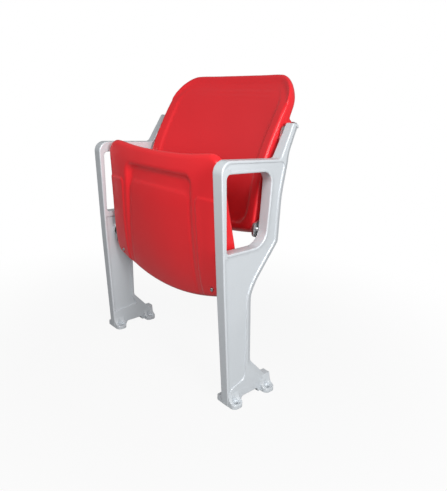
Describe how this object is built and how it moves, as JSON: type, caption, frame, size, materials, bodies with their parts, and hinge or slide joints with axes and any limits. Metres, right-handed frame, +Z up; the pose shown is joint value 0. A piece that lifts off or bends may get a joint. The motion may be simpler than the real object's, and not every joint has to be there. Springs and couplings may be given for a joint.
{
  "type": "tip-up stadium seat",
  "caption": "Fixed tip-up seat: moulded plastic seat and backrest between two cast side standards with open armrests and feet for floor anchors.",
  "frame": {"origin": "on the floor, in the middle of the four inner anchor holes, halfway between the two standards", "axes": "+X runs across the seat towards the near armrest (the sitter's left), +Y points to the back, away from the way the sitter faces, +Z is up"},
  "size_m": [0.636, 0.3517, 0.8454],
  "materials": {
    "cast_metal": "silver powder coat, satin",
    "seat_plastic": "moulded, satin gloss",
    "back_plastic": "moulded, satin gloss",
    "plate_steel": "zinc plated sheet",
    "bright_steel": "turned, zinc plated",
    "screw_steel": "zinc plated",
    "nylon": "moulded, black",
    "rubber": "moulded, matte"
  },
  "bodies": {
    "frame": {"right_standard": "cast_metal", "left_standard": "cast_metal", "pivot_shaft": "bright_steel", "right_thrust_washer": "nylon", "left_thrust_washer": "nylon", "right_return_spring": "bright_steel", "left_return_spring": "bright_steel", "right_up_buffer": "rubber", "left_up_buffer": "rubber", "right_down_buffer": "rubber", "left_down_buffer": "rubber", "backrest_shell": "back_plastic", "right_lower_back_bracket": "plate_steel", "left_lower_back_bracket": "plate_steel", "right_lower_bracket_bolts": "screw_steel", "left_lower_bracket_bolts": "screw_steel", "right_lower_back_screws": "screw_steel", "left_lower_back_screws": "screw_steel", "right_upper_back_bracket": "plate_steel", "left_upper_back_bracket": "plate_steel", "right_upper_bracket_bolts": "screw_steel", "left_upper_bracket_bolts": "screw_steel", "right_upper_back_screws": "screw_steel", "left_upper_back_screws": "screw_steel"},
    "seat": {"seat_shell": "seat_plastic", "right_seat_screw": "screw_steel", "left_seat_screw": "screw_steel", "right_hinge_block": "nylon", "left_hinge_block": "nylon", "right_pivot_bush": "nylon", "left_pivot_bush": "nylon", "right_hinge_plate": "plate_steel", "left_hinge_plate": "plate_steel", "right_stop_pin": "bright_steel", "left_stop_pin": "bright_steel", "right_plate_screws": "screw_steel", "left_plate_screws": "screw_steel"}
  },
  "joints": [
    {"name": "seat_tip", "type": "hinge", "parent": "frame", "child": "seat", "pos_m": [0, -0.053, 0.35], "axis": [1, 0, 0], "range_deg": [0, 70], "stiffness_Nm_per_rad": 5, "springref_deg": -34.38, "deforming": ["right_return_spring", "left_return_spring"]}
  ]
}
